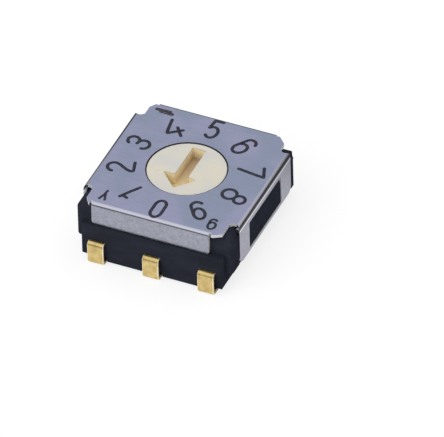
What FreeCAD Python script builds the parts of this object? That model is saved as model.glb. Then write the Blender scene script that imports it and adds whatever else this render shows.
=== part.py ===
import FreeCAD, Part
import math
import os

# Surface-mount rotary coded switch with ten positions, in millimetres.
# The origin is the middle of the footprint on the solder plane, +Z up, and the
# leads stand in two rows at the front (-Y) and at the rear (+Y).

# Overall size: the width follows from the row of leads, further down
overall_height = 3.05
cover_depth = 7.2

# Folded cover: one sheet with four flanges, four corner tabs and two windows
sheet = 0.15
bend_inner_radius = 0.03
end_flange_set_left = 0.11
end_flange_bottom = 1.95
end_flange_corner_radius = 0.12
side_flange_set_back = 0.95
side_flange_bottom = 0.98
side_flange_corner_radius = 0.35
window_width = 3.3
window_bottom = 1.18
window_top = 2.38
window_corner_radius = 0.08
tab_width = 0.34
tab_slit = 0.1
tab_side_set_back = 0.46
front_tab_set_back = 0.02
rear_tab_set_back = 0.16
left_tab_cut_x = 0.2
left_tab_cut_y = 0.28
right_tab_cut_x = 0.36
front_right_tab_cut_y = 0.2
rear_right_tab_cut_y = 0.36
rear_right_tab_radius = 0.15
relief_radius = 0.23
cover_hole_clearance = 0.01

# Housing: the upper moulding, with the bore that guides the rotor
cover_fit = 0.02
post_step = 0.15
housing_corner_chamfer = 0.1
rear_corner_cut_x = 0.25
rear_corner_cut_y = 0.47
housing_top_radius = 0.5
housing_skirt_bottom = 1.02
housing_skirt = 0.27
housing_wall = 0.47
cavity_corner_radius = 0.4
ceiling_thickness = 0.57
flange_side_clearance = 0.05

# Base: the lower moulding, cast round the leads
base_front_step = 0.1
base_edge_radius = 0.08
base_underside = 0.3
keel_side_clearance = 0.06
keel_clearance = 0.12
flange_gap = 0.03
skirt_clearance = 0.03
catch_clearance = 0.05
catch_inset = 0.02
catch_root = 0.2
catch_ramp_height = 0.3
catch_ramp_depth = 0.12
bearing_clearance = 0.03
bearing_floor = 0.1

# Rotor: the turned piece with the screwdriver slot
neck_radius = 1.7
neck_clearance = 0.05
neck_edge_chamfer = 0.04
rotor_set_back = 0.02
wheel_thickness = 0.36
wheel_top_clearance = 0.05
notch_count = 10
notch_radius = 0.36
notch_depth = 0.22
spigot_radius = 0.4
spigot_depth = 0.23
key_width = 0.9
key_clearance = 0.02

# Arrow slot, pointing to the front when the switch stands at zero
slot_depth = 0.6
slot_shaft_width = 0.62
slot_rear = 1.42
slot_shoulder = 0.44
slot_barb = 0.53
slot_head_width = 1.48
slot_tip = 1.33
slot_corner_radius = 0.06

# Seal ring
ring_section = 0.3
ring_clearance = 0.01

# Code disc: one plain track for the common fingers and one track for each bit
disc_thickness = 0.12
common_track_radius = 0.85
track_web = 0.1
disc_rim = 0.12
wheel_overhang = 0.21

# Leads: outside J-shaped foot, strip in the base and contact finger inside
lead_pitch = 2.54
lead_width = 0.76
lead_sheet = 0.15
lead_edge_margin = 0.36
lead_stand_off = 0.25
lead_exit_top = 1.13
lead_bend_inner_radius = 0.05
foot_length = 0.85
foot_clearance = 0.07
pad_set_back = 0.18
pad_length = 0.4
finger_side_clearance = 0.01
finger_bend_radius = 0.05
finger_root_length = 0.2
contact_length = 0.2
contact_gap = 0.02
toe_length = 0.2
toe_drop = 0.16
finger_pocket_depth = 0.2
finger_pocket_clearance = 0.06

# Click spring: a U-shaped leaf round the wheel
spring_sheet = 0.1
spring_height = 0.5
spring_wall_clearance = 0.08
spring_wheel_clearance = 0.3
spring_corner_radius = 0.5
spring_seat_clearance = 0.01
spring_arm_set_back = 0.63
spring_bend_radius = 0.08
bump_clearance = 0.03
bump_length = 1.0
bump_crown_width = 0.28
bump_crown_rise = 0.06
spring_pad_width = 0.48
spring_pad_length = 0.98

# Widths, from the row of leads outwards to the cover
base_half_x = lead_pitch + lead_width / 2 + lead_edge_margin
housing_half_x = base_half_x + skirt_clearance + housing_skirt
housing_face_x = housing_half_x - post_step
cover_inner_x = housing_face_x + cover_fit
cover_half_x = cover_inner_x + sheet
cavity_half_x = housing_face_x - housing_wall

# Depths, from the cover outwards to the leads and inwards to the cavity
cover_half_y = cover_depth / 2
cover_inner_y = cover_half_y - sheet
housing_face_y = cover_inner_y - cover_fit
cavity_half_y = housing_face_y - housing_wall
base_half_y = cover_half_y + base_front_step
lead_reach = base_half_y + lead_stand_off
foot_end = lead_reach - foot_length
pad_outer = cavity_half_y - pad_set_back
pad_inner = pad_outer - pad_length
finger_root = pad_inner - finger_root_length

# Outline of the cover's flanges and tabs
bend_outer_radius = bend_inner_radius + sheet
tab_half_x = cover_half_x - tab_side_set_back
front_tab_y = cover_half_y - front_tab_set_back
rear_tab_y = cover_half_y - rear_tab_set_back
end_flange_half = tab_half_x - tab_width - tab_slit
end_flange_left = -end_flange_half - end_flange_set_left
end_flange_right = end_flange_half - end_flange_set_left
side_flange_half = cover_half_y - side_flange_set_back

# Heights
plate_underside = overall_height - sheet
ceiling = plate_underside - ceiling_thickness
rotor_top = overall_height - rotor_set_back
wheel_top = ceiling - wheel_top_clearance
disc_top = wheel_top - wheel_thickness
disc_bottom = disc_top - disc_thickness
floor_top = lead_exit_top
spigot_bottom = floor_top - spigot_depth
catch_top = window_top - catch_clearance
spring_top = ceiling - spring_seat_clearance
spring_bottom = spring_top - spring_height

# Radii of the turning pieces, from the room inside the click spring
bore_radius = neck_radius + neck_clearance
spring_room = spring_wall_clearance + spring_sheet + spring_wheel_clearance
wheel_radius = min(cavity_half_x, cavity_half_y) - spring_room
notch_floor = wheel_radius - notch_depth
disc_radius = wheel_radius - wheel_overhang
outer_track_radius = disc_radius - disc_rim - track_web
track_pitch = (outer_track_radius - common_track_radius) / 4
track_width = track_pitch - track_web
finger_width = track_width - 2 * finger_side_clearance
step_angle = 360.0 / notch_count

# Each bit's finger: which positions close it, its track and where it touches the disc
bit_one = {"closed": (1, 3, 5, 7, 9), "radius": outer_track_radius, "side": -1}
bit_two = {"closed": (2, 3, 6, 7), "radius": outer_track_radius - track_pitch, "side": -1}
bit_four = {"closed": (4, 5, 6, 7), "radius": common_track_radius + 2 * track_pitch, "side": 1}
bit_eight = {"closed": (8, 9), "radius": common_track_radius + track_pitch, "side": 1}


def vec(x, y, z):
    return FreeCAD.Vector(x, y, z)


def box(x_low, x_high, y_low, y_high, z_low, z_high):
    """A block between two corners."""
    corner = vec(x_low, y_low, z_low)
    return Part.makeBox(x_high - x_low, y_high - y_low, z_high - z_low, corner)


def drum(radius, z_low, z_high, x=0.0, y=0.0):
    """An upright cylinder between two heights."""
    return Part.makeCylinder(radius, z_high - z_low, vec(x, y, z_low))


def rounded_outline(points, radii):
    """A closed flat wire through the points, with each corner rounded by its radius."""
    starts = []
    ends = []
    middles = []
    for index, point in enumerate(points):
        before = points[index - 1] - point
        after = points[(index + 1) % len(points)] - point
        before.normalize()
        after.normalize()
        radius = radii[index]
        half = before.getAngle(after) / 2
        if radius <= 0 or half > math.radians(89.9):
            starts.append(point)
            ends.append(point)
            middles.append(None)
            continue
        bisector = before + after
        bisector.normalize()
        reach = radius / math.tan(half)
        centre = point + bisector * (radius / math.sin(half))
        starts.append(point + before * reach)
        ends.append(point + after * reach)
        middles.append(centre - bisector * radius)
    edges = []
    for index in range(len(points)):
        if middles[index] is not None:
            arc = Part.Arc(starts[index], middles[index], ends[index])
            edges.append(arc.toShape())
        following = starts[(index + 1) % len(points)]
        if ends[index].distanceToPoint(following) > 1e-6:
            edges.append(Part.makeLine(ends[index], following))
    return Part.Wire(edges)


def prism(points, radii, direction):
    """The solid made by moving a rounded outline along a direction."""
    face = Part.Face(rounded_outline(points, radii))
    return face.extrude(direction)


def strip_sides(path, thickness, inner_radius):
    """Corner points and radii of a bent sheet strip whose middle line is the path."""
    left = []
    right = []
    left_radii = []
    right_radii = []
    for index, (a, b) in enumerate(path):
        came = path[max(index - 1, 0)]
        goes = path[min(index + 1, len(path) - 1)]
        turn_in = math.atan2(b - came[1], a - came[0])
        turn_out = math.atan2(goes[1] - b, goes[0] - a)
        if index == 0:
            turn_in = turn_out
        if index == len(path) - 1:
            turn_out = turn_in
        turn = (turn_out - turn_in + math.pi) % (2 * math.pi) - math.pi
        along = turn_in + turn / 2
        reach = thickness / 2 / math.cos(turn / 2)
        across = (-math.sin(along) * reach, math.cos(along) * reach)
        left.append((a + across[0], b + across[1]))
        right.append((a - across[0], b - across[1]))
        bent = abs(turn) > 1e-6
        left_radii.append((inner_radius + (thickness if turn < 0 else 0)) * bent)
        right_radii.append((inner_radius + (thickness if turn > 0 else 0)) * bent)
    points = left + right[::-1]
    radii = left_radii + right_radii[::-1]
    return points, radii


def bent_strip_yz(path, thickness, inner_radius, x_middle, width):
    """A strip bent in the YZ plane, given its width along X."""
    points, radii = strip_sides(path, thickness, inner_radius)
    x_low = x_middle - width / 2
    corners = [vec(x_low, a, b) for a, b in points]
    return prism(corners, radii, vec(width, 0, 0))


def joined(first, others):
    """One solid from several that touch, with the split faces merged."""
    return first.fuse(others).removeSplitter()


def make_cover():
    """The folded steel cover, as its bent shell trimmed to the stamped outline."""
    outer = box(
        -cover_half_x, cover_half_x, -cover_half_y, cover_half_y,
        side_flange_bottom, overall_height,
    )
    inner = box(
        -cover_inner_x, cover_inner_x, -cover_inner_y, cover_inner_y,
        side_flange_bottom, plate_underside,
    )
    outer = outer.makeFillet(bend_outer_radius, top_edges(outer, overall_height))
    inner = inner.makeFillet(bend_inner_radius, top_edges(inner, plate_underside))
    shell = outer.cut(inner)

    ends = end_flange_outline()
    sides = side_flange_outline()
    folded = shell.common(ends).fuse(shell.common(sides))
    cover = joined(folded, [make_cover_plate()])
    notch_x = tab_half_x + relief_radius
    notch_y = side_flange_half + relief_radius / 2
    notches = [
        drum(relief_radius, plate_underside - bend_inner_radius, overall_height, x, y)
        for x in (-notch_x, notch_x)
        for y in (-notch_y, notch_y)
    ]
    hole = drum(bore_radius + cover_hole_clearance, side_flange_bottom, overall_height)
    return cover.cut(notches + [hole])


def top_edges(block, height):
    """The edges of a block that lie in its top face."""
    edges = []
    for edge in block.Edges:
        if all(abs(vertex.Z - height) < 1e-6 for vertex in edge.Vertexes):
            edges.append(edge)
    return edges


def end_flange_outline():
    """Front view of the front and rear flanges, run through the whole depth."""
    points = [
        vec(end_flange_left, -cover_half_y, end_flange_bottom),
        vec(end_flange_right, -cover_half_y, end_flange_bottom),
        vec(end_flange_right, -cover_half_y, overall_height),
        vec(end_flange_left, -cover_half_y, overall_height),
    ]
    radius = end_flange_corner_radius
    return prism(points, [radius, radius, 0, 0], vec(0, cover_depth, 0))


def side_flange_outline():
    """Side view of the side flanges with their windows, run through the whole width."""
    across = vec(2 * cover_half_x, 0, 0)
    half = side_flange_half
    points = [
        vec(-cover_half_x, -half, side_flange_bottom),
        vec(-cover_half_x, half, side_flange_bottom),
        vec(-cover_half_x, half, overall_height),
        vec(-cover_half_x, -half, overall_height),
    ]
    radius = side_flange_corner_radius
    flange = prism(points, [radius, radius, 0, 0], across)
    half = window_width / 2
    opening = [
        vec(-cover_half_x, -half, window_bottom),
        vec(-cover_half_x, half, window_bottom),
        vec(-cover_half_x, half, window_top),
        vec(-cover_half_x, -half, window_top),
    ]
    return flange.cut(prism(opening, [window_corner_radius] * 4, across))


def make_cover_plate():
    """The flat top of the cover with its four corner tabs."""
    left_slit = end_flange_left - tab_slit
    right_slit = end_flange_right + tab_slit
    front_left = tab_outline(
        left_slit, -front_tab_y, left_tab_cut_x, left_tab_cut_y,
    )
    front_right = tab_outline(
        right_slit, -front_tab_y, right_tab_cut_x, front_right_tab_cut_y,
    )
    rear_right = tab_outline(
        right_slit, rear_tab_y, right_tab_cut_x, rear_right_tab_cut_y,
    )
    rear_left = tab_outline(
        left_slit, rear_tab_y, left_tab_cut_x, left_tab_cut_y,
    )
    points = front_left[::-1] + front_right + rear_right[::-1] + rear_left
    rounded = rear_right[2:]
    radii = [rear_right_tab_radius * (point in rounded) for point in points]
    return prism(points, radii, vec(0, 0, sheet))


def tab_outline(slit, end, cut_x, cut_y):
    """One corner tab seen from above, from the foot of its slit to the cover's side."""
    side_x = math.copysign(1, slit)
    side_y = math.copysign(1, end)
    flat_y = side_y * (cover_half_y - bend_outer_radius)
    tip_x = side_x * (tab_half_x - cut_x)
    return [
        vec(slit, flat_y, plate_underside),
        vec(slit, end, plate_underside),
        vec(tip_x, end, plate_underside),
        vec(side_x * tab_half_x, end - side_y * cut_y, plate_underside),
    ]


def make_housing():
    """The upper moulding: bore, seat for the seal ring, corner posts and side gaps."""
    half_x = housing_half_x
    cut = housing_corner_chamfer
    block = box(
        -half_x, half_x, -housing_face_y, housing_face_y,
        housing_skirt_bottom, plate_underside,
    )
    block = block.makeFillet(housing_top_radius, top_edges(block, plate_underside))
    rear = [
        (half_x, housing_face_y - rear_corner_cut_y),
        (half_x - rear_corner_cut_x, housing_face_y),
    ]
    front = [
        (half_x, housing_face_y - cut),
        (half_x - cut, housing_face_y),
    ]
    plan = [vec(x, y, housing_skirt_bottom) for x, y in rear]
    plan += [vec(-x, y, housing_skirt_bottom) for x, y in rear[::-1]]
    plan += [vec(-x, -y, housing_skirt_bottom) for x, y in front]
    plan += [vec(x, -y, housing_skirt_bottom) for x, y in front[::-1]]
    height = vec(0, 0, plate_underside - housing_skirt_bottom)
    block = block.common(prism(plan, [0] * len(plan), height))

    cavity_corners = [
        vec(-cavity_half_x, -cavity_half_y, housing_skirt_bottom),
        vec(cavity_half_x, -cavity_half_y, housing_skirt_bottom),
        vec(cavity_half_x, cavity_half_y, housing_skirt_bottom),
        vec(-cavity_half_x, cavity_half_y, housing_skirt_bottom),
    ]
    rise = vec(0, 0, ceiling - housing_skirt_bottom)
    cavity = prism(cavity_corners, [cavity_corner_radius] * 4, rise)
    base_room_x = base_half_x + skirt_clearance
    base_room = box(
        -base_room_x, base_room_x, -housing_face_y, housing_face_y,
        housing_skirt_bottom, floor_top,
    )
    flange_room_y = side_flange_half + flange_side_clearance
    catch_room_y = window_width / 2
    catch_room_top = catch_top + catch_clearance
    rooms = []
    for low, high in ((-half_x, -housing_face_x), (housing_face_x, half_x)):
        rooms.append(box(
            low, high, -flange_room_y, flange_room_y,
            housing_skirt_bottom, plate_underside,
        ))
    for low, high in ((-half_x, -cavity_half_x), (cavity_half_x, half_x)):
        rooms.append(box(
            low, high, -catch_room_y, catch_room_y,
            housing_skirt_bottom, catch_room_top,
        ))
    bore = drum(bore_radius, housing_skirt_bottom, plate_underside)
    ring_seat_radius = neck_radius + ring_section + 2 * ring_clearance
    ring_seat = drum(ring_seat_radius, housing_skirt_bottom, wheel_top + ring_section
                     + 2 * ring_clearance)
    return block.cut([cavity, base_room, bore, ring_seat] + rooms)


def make_base(leads):
    """The lower moulding with its side catches, cast round the leads."""
    half_x = base_half_x
    half_y = base_half_y
    slab = box(-half_x, half_x, -half_y, half_y, base_underside, floor_top)
    wall_top = end_flange_bottom - flange_gap
    walls = [
        box(-half_x, half_x, -half_y, -cover_inner_y, floor_top, wall_top),
        box(-half_x, half_x, cover_inner_y, half_y, floor_top, wall_top),
    ]
    body = joined(slab, walls)
    posts = [
        edge for edge in body.Edges
        if abs(edge.tangentAt(0).z) > 0.5 and abs(edge.Vertexes[0].Y) > cover_inner_y + 0.01
    ]
    body = body.makeFillet(base_edge_radius, posts)

    keel_half = lead_pitch - lead_width / 2 - keel_side_clearance
    keel = box(-keel_half, keel_half, -half_y, half_y, keel_clearance, base_underside)
    additions = [keel] + [make_catch(side) for side in (-1, 1)] + make_spring_pads()
    body = joined(body, additions)

    pocket_x = lead_width / 2 + foot_clearance
    pocket_y = foot_end - foot_clearance
    pockets = [
        box(-pocket_x, pocket_x, -half_y, -pocket_y, keel_clearance, base_underside),
        box(-pocket_x, pocket_x, pocket_y, half_y, keel_clearance, base_underside),
    ]
    bearing_bottom = spigot_bottom - bearing_floor
    bearing = drum(spigot_radius + bearing_clearance, bearing_bottom, floor_top)
    pockets.append(bearing)
    for finger in finger_places():
        pockets.append(make_finger_pocket(**finger))
    return body.cut(pockets + leads)


def make_catch(side):
    """One side catch: a column beside the cavity and the nose that fills the window."""
    nose_y = window_width / 2 - catch_clearance
    nose_x = cover_half_x - catch_inset
    nose_bottom = window_bottom + catch_clearance
    profile = [
        (cavity_half_x, floor_top),
        (cavity_half_x, catch_top),
        (nose_x - catch_ramp_depth, catch_top),
        (nose_x, catch_top - catch_ramp_height),
        (nose_x, nose_bottom),
        (base_half_x, nose_bottom),
        (base_half_x, floor_top - catch_root),
        (cavity_half_x, floor_top - catch_root),
    ]
    points = [vec(side * x, -nose_y, z) for x, z in profile]
    return prism(points, [0] * len(points), vec(0, 2 * nose_y, 0))


def make_spring_pads():
    """Four corner pads that the click spring lies on."""
    top = spring_bottom - spring_seat_clearance
    radius = cavity_corner_radius
    pads = []
    for side_x in (-1, 1):
        for side_y in (-1, 1):
            near_x = side_x * (cavity_half_x - spring_pad_width)
            far_x = side_x * (cavity_half_x - spring_seat_clearance)
            near_y = side_y * (cavity_half_y - spring_pad_length)
            far_y = side_y * (cavity_half_y - spring_seat_clearance)
            points = [
                vec(near_x, near_y, floor_top),
                vec(far_x, near_y, floor_top),
                vec(far_x, far_y, floor_top),
                vec(near_x, far_y, floor_top),
            ]
            pads.append(prism(points, [0, 0, radius, 0], vec(0, 0, top - floor_top)))
    return pads


def make_rotor():
    """The rotor: slotted neck, notched wheel, key for the code disc and bearing spigot."""
    neck = drum(neck_radius, wheel_top, rotor_top)
    rim = top_edges(neck, rotor_top)
    neck = neck.makeChamfer(neck_edge_chamfer, rim)
    wheel = drum(wheel_radius, disc_top, wheel_top)
    half_key = key_width / 2
    key = box(-half_key, half_key, -half_key, half_key, disc_bottom, disc_top)
    spigot = drum(spigot_radius, spigot_bottom, disc_bottom)
    body = joined(neck, [wheel, key, spigot])

    notch_centre = notch_floor + notch_radius
    notches = []
    for index in range(notch_count):
        angle = math.radians(index * step_angle)
        x = notch_centre * math.cos(angle)
        y = notch_centre * math.sin(angle)
        notches.append(drum(notch_radius, disc_top, wheel_top, x, y))
    return body.cut(notches + [make_arrow()])


def make_arrow():
    """The arrow-shaped slot for a screwdriver."""
    shaft = slot_shaft_width / 2
    head = slot_head_width / 2
    floor = rotor_top - slot_depth
    outline = [
        (-shaft, slot_rear),
        (-shaft, -slot_shoulder),
        (-head, -slot_barb),
        (0.0, -slot_tip),
        (head, -slot_barb),
        (shaft, -slot_shoulder),
        (shaft, slot_rear),
    ]
    points = [vec(x, y, floor) for x, y in outline]
    radii = [slot_corner_radius] * len(points)
    return prism(points, radii, vec(0, 0, slot_depth))


def make_ring():
    """The rubber seal ring round the neck, above the wheel."""
    section_radius = ring_section / 2
    middle_radius = neck_radius + ring_clearance + section_radius
    middle_height = wheel_top + ring_clearance + section_radius
    return Part.makeTorus(middle_radius, section_radius, vec(0, 0, middle_height))


def open_runs(closed):
    """First and last position of each run of open positions round the dial."""
    runs = []
    for position in range(notch_count):
        before = (position - 1) % notch_count
        if position in closed or before not in closed:
            continue
        last = position
        while (last + 1) % notch_count not in closed:
            last += 1
        runs.append((position, last))
    return runs


def make_window(track, first, last):
    """A ring-shaped window of the code disc over a run of open positions."""
    contact_angle = 180 if track["side"] < 0 else 0
    start = contact_angle + (first - 0.5) * step_angle
    sweep = (last - first + 1) * step_angle
    base_point = vec(0, 0, disc_bottom)
    up = vec(0, 0, 1)
    outer_radius = track["radius"] + track_width / 2
    inner_radius = track["radius"] - track_width / 2
    outer = Part.makeCylinder(outer_radius, disc_thickness, base_point, up, sweep)
    inner = Part.makeCylinder(inner_radius, disc_thickness, base_point, up, sweep)
    window = outer.cut(inner)
    window.rotate(vec(0, 0, 0), up, start)
    return window


def make_code_disc():
    """The stamped code disc with its square hole and the windows of the four tracks."""
    disc = drum(disc_radius, disc_bottom, disc_top)
    half_hole = key_width / 2 + key_clearance
    openings = [box(-half_hole, half_hole, -half_hole, half_hole, disc_bottom, disc_top)]
    for track in (bit_one, bit_two, bit_four, bit_eight):
        for first, last in open_runs(track["closed"]):
            openings.append(make_window(track, first, last))
    return disc.cut(openings)


def finger_places():
    """Where each finger lies: its line in X, its row and where it touches in Y."""
    places = []
    for track, row in ((bit_one, -1), (bit_two, 1), (bit_four, 1), (bit_eight, -1)):
        places.append({"x": track["side"] * track["radius"], "row": row, "touch": 0.0})
    for row in (-1, 1):
        places.append({"x": 0.0, "row": row, "touch": row * common_track_radius})
    return places


def make_finger_pocket(x, row, touch):
    """Room in the base's floor for one finger to bend down."""
    half = finger_width / 2 + finger_pocket_clearance
    toe = touch - row * (contact_length / 2 + toe_length + finger_pocket_clearance)
    low, high = sorted((row * pad_inner, toe))
    return box(x - half, x + half, low, high, floor_top - finger_pocket_depth, floor_top)


def make_lead(place_x, finger):
    """One stamped lead: J-shaped foot, strip cast into the base, pad and finger."""
    row = finger["row"]
    strip_z = lead_exit_top - lead_sheet / 2
    foot_z = lead_sheet / 2
    face_y = lead_reach - lead_sheet / 2
    outside = [
        (row * pad_inner, strip_z),
        (row * face_y, strip_z),
        (row * face_y, foot_z),
        (row * foot_end, foot_z),
    ]
    foot = bent_strip_yz(outside, lead_sheet, lead_bend_inner_radius, place_x, lead_width)
    half_lead = lead_width / 2
    half_finger = finger_width / 2
    x_low = min(place_x - half_lead, finger["x"] - half_finger)
    x_high = max(place_x + half_lead, finger["x"] + half_finger)
    y_low, y_high = sorted((row * pad_inner, row * pad_outer))
    pad = box(x_low, x_high, y_low, y_high, lead_exit_top - lead_sheet, lead_exit_top)
    contact_z = disc_bottom - contact_gap - lead_sheet / 2
    half_contact = contact_length / 2
    touch = finger["touch"]
    inside = [
        (row * pad_outer, strip_z),
        (row * finger_root, strip_z),
        (touch + row * half_contact, contact_z),
        (touch - row * half_contact, contact_z),
        (touch - row * (half_contact + toe_length), contact_z - toe_drop),
    ]
    spring_finger = bent_strip_yz(
        inside, lead_sheet, finger_bend_radius, finger["x"], finger_width
    )
    return joined(foot, [pad, spring_finger])


def make_detent_spring():
    """The click spring: a U-shaped leaf with a rounded bump on each arm."""
    arm_x = cavity_half_x - spring_wall_clearance - spring_sheet / 2
    web_y = cavity_half_y - spring_wall_clearance - spring_sheet / 2
    tip_x = notch_floor + bump_clearance + spring_sheet / 2
    arm_end_y = cavity_half_y - spring_arm_set_back
    half_bump = bump_length / 2
    shoulder_x = tip_x + bump_crown_rise
    shoulder_y = bump_crown_width / 2
    arm = [
        (arm_x, -arm_end_y),
        (arm_x, -half_bump),
        (shoulder_x, -shoulder_y),
        (tip_x, 0.0),
        (shoulder_x, shoulder_y),
        (arm_x, half_bump),
    ]
    path = arm + [(arm_x, web_y), (-arm_x, web_y)] + [(-x, y) for x, y in arm[::-1]]
    points, radii = strip_sides(path, spring_sheet, spring_bend_radius)
    corner = len(arm)
    last = len(points) - 1
    for index in (corner, corner + 1):
        radii[index] = spring_corner_radius - spring_sheet
        radii[last - index] = spring_corner_radius
    corners = [vec(x, y, spring_bottom) for x, y in points]
    return prism(corners, radii, vec(0, 0, spring_height))


def save(name, shape):
    """Write one piece as a STEP file."""
    solids = shape.Solids
    if len(solids) == 1:
        shape = solids[0]
    shape.exportStep("parts/" + name + ".step")
    print(name, len(solids), "valid" if shape.isValid() else "NOT VALID", round(shape.Volume, 4))


def main():
    os.makedirs("parts", exist_ok=True)
    fingers = finger_places()
    leads = {
        "lead_bit_1": make_lead(-lead_pitch, fingers[0]),
        "lead_bit_2": make_lead(-lead_pitch, fingers[1]),
        "lead_bit_4": make_lead(lead_pitch, fingers[2]),
        "lead_bit_8": make_lead(lead_pitch, fingers[3]),
        "lead_common_front": make_lead(0.0, fingers[4]),
        "lead_common_rear": make_lead(0.0, fingers[5]),
    }
    save("cover", make_cover())
    save("housing", make_housing())
    save("base", make_base(list(leads.values())))
    save("rotor", make_rotor())
    save("code_disc", make_code_disc())
    save("o_ring", make_ring())
    save("detent_spring", make_detent_spring())
    for name, lead in leads.items():
        save(name, lead)


main()
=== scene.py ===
import math

import bmesh
import bpy
from mathutils import Matrix, Quaternion, Vector


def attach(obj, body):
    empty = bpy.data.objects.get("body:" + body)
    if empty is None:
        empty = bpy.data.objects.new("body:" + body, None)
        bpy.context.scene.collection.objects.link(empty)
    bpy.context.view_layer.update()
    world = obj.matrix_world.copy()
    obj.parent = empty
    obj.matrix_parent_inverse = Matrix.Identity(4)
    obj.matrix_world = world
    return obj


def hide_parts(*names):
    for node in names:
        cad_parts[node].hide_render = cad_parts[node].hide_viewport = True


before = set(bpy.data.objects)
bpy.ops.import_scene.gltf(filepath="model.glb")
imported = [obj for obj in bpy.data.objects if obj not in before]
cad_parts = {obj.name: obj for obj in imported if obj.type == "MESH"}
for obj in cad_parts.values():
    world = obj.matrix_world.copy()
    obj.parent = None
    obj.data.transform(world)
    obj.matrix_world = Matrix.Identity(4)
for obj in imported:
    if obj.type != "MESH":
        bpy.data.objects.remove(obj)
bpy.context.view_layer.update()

# Camera: a long lens that looks down on the front right corner of the switch.
# It stands 0.62 m away, so the square top keeps nearly parallel sides.
MM = 0.001
LENS = 1188.03
CAMERA_AZIMUTH = math.radians(24.95)
CAMERA_ELEVATION = math.radians(39.86)
CAMERA_ROLL = math.radians(-1.585)
CAMERA_DISTANCE = 617.725 * MM
AIM = Vector((1.967, -0.853, 1.60)) * MM

camera_data = bpy.data.cameras.new("camera")
camera_data.lens = LENS
camera = bpy.data.objects.new("camera", camera_data)
bpy.context.scene.collection.objects.link(camera)
towards_camera = Vector((
    math.sin(CAMERA_AZIMUTH) * math.cos(CAMERA_ELEVATION),
    -math.cos(CAMERA_AZIMUTH) * math.cos(CAMERA_ELEVATION),
    math.sin(CAMERA_ELEVATION),
))
camera.location = AIM + towards_camera * CAMERA_DISTANCE
camera.rotation_mode = "QUATERNION"
level_view = (-towards_camera).to_track_quat("-Z", "Y")
camera.rotation_quaternion = level_view @ Quaternion((0, 0, 1), CAMERA_ROLL)
bpy.context.scene.camera = camera
bpy.context.scene.view_settings.view_transform = "Standard"


def linear(hex_colour):
    """An sRGB hex colour as the linear RGBA that the shaders expect."""
    channels = [int(hex_colour[i:i + 2], 16) / 255 for i in (1, 3, 5)]
    even = [c / 12.92 if c <= 0.04045 else ((c + 0.055) / 1.055) ** 2.4 for c in channels]
    return (*even, 1.0)


def add(tree, kind, inputs=None, **settings):
    """Adds one node with its settings; an input is a value or the socket that feeds it."""
    made = tree.nodes.new(kind)
    for name, value in settings.items():
        setattr(made, name, value)
    for name, value in (inputs or {}).items():
        if isinstance(value, bpy.types.NodeSocket):
            tree.links.new(value, made.inputs[name])
        else:
            made.inputs[name].default_value = value
    return made


# Studio: a light tent. Metal sees it white overhead and fading to near black at the horizon,
# so that polished bends show a bright band with a darker line under it. Its cloth is
# brighter towards the front left, where the key softbox stands behind it.
SKY_LIGHT = 0.62
HORIZON = 0.03
FADE_FROM = 0.03
FADE_TO = 0.70
BRIGHTER_TOWARDS = (-0.25, -0.25, 0.0)
world = bpy.data.worlds.new("light_tent")
world.use_nodes = True
bpy.context.scene.world = world
tree = world.node_tree
tree.nodes.clear()
rays = add(tree, "ShaderNodeLightPath")
seen = add(tree, "ShaderNodeMath", {
    0: rays.outputs["Is Glossy Ray"], 1: rays.outputs["Is Transmission Ray"],
}, operation="MAXIMUM")
direction = add(tree, "ShaderNodeTexCoord")
height = add(tree, "ShaderNodeSeparateXYZ", {0: direction.outputs["Generated"]})
fade = add(tree, "ShaderNodeMapRange", {
    "Value": height.outputs["Z"], "From Min": FADE_FROM, "From Max": FADE_TO,
    "To Min": HORIZON, "To Max": 1.0,
}, interpolation_type="SMOOTHSTEP")
soft_light = add(tree, "ShaderNodeBackground", {
    "Color": linear("#FBFCFF"), "Strength": SKY_LIGHT,
})
to_front = add(tree, "ShaderNodeVectorMath", {
    0: direction.outputs["Generated"], 1: BRIGHTER_TOWARDS,
}, operation="DOT_PRODUCT")
side_level = add(tree, "ShaderNodeMath", {0: to_front.outputs["Value"], 1: 1.0}, operation="ADD")
tent_level = add(tree, "ShaderNodeMath", {
    0: fade.outputs["Result"], 1: side_level.outputs[0],
}, operation="MULTIPLY")
reflected = add(tree, "ShaderNodeBackground", {
    "Color": linear("#FFFFFF"), "Strength": tent_level.outputs[0],
})
backdrop = add(tree, "ShaderNodeBackground", {"Color": linear("#FFFFFF"), "Strength": 1.0})
lit = add(tree, "ShaderNodeMixShader", {
    0: seen.outputs[0], 1: soft_light.outputs[0], 2: reflected.outputs[0],
})
shown = add(tree, "ShaderNodeMixShader", {
    0: rays.outputs["Is Camera Ray"], 1: lit.outputs[0], 2: backdrop.outputs[0],
})
add(tree, "ShaderNodeOutputWorld", {"Surface": shown.outputs[0]})

# Two softboxes: a key over the front left and a weak fill over the rear right. The tent's
# cloth hides both from the metal, so they make no hard spots on it.
for name, azimuth, elevation, distance, size, power in (
    ("key_softbox", -27, 44, 0.40, 0.40, 0.65),
    ("fill_softbox", 150, 60, 0.50, 0.30, 0.30),
):
    lamp_data = bpy.data.lights.new(name, "AREA")
    lamp_data.shape = "DISK"
    lamp_data.size = size
    lamp_data.energy = power
    lamp = bpy.data.objects.new(name, lamp_data)
    lamp.visible_glossy = False
    bpy.context.scene.collection.objects.link(lamp)
    around, up = math.radians(azimuth), math.radians(elevation)
    away = Vector((
        math.sin(around) * math.cos(up), -math.cos(around) * math.cos(up), math.sin(up),
    ))
    lamp.location = away * distance
    lamp.rotation_euler = (-away).to_track_quat("-Z", "Y").to_euler()

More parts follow.
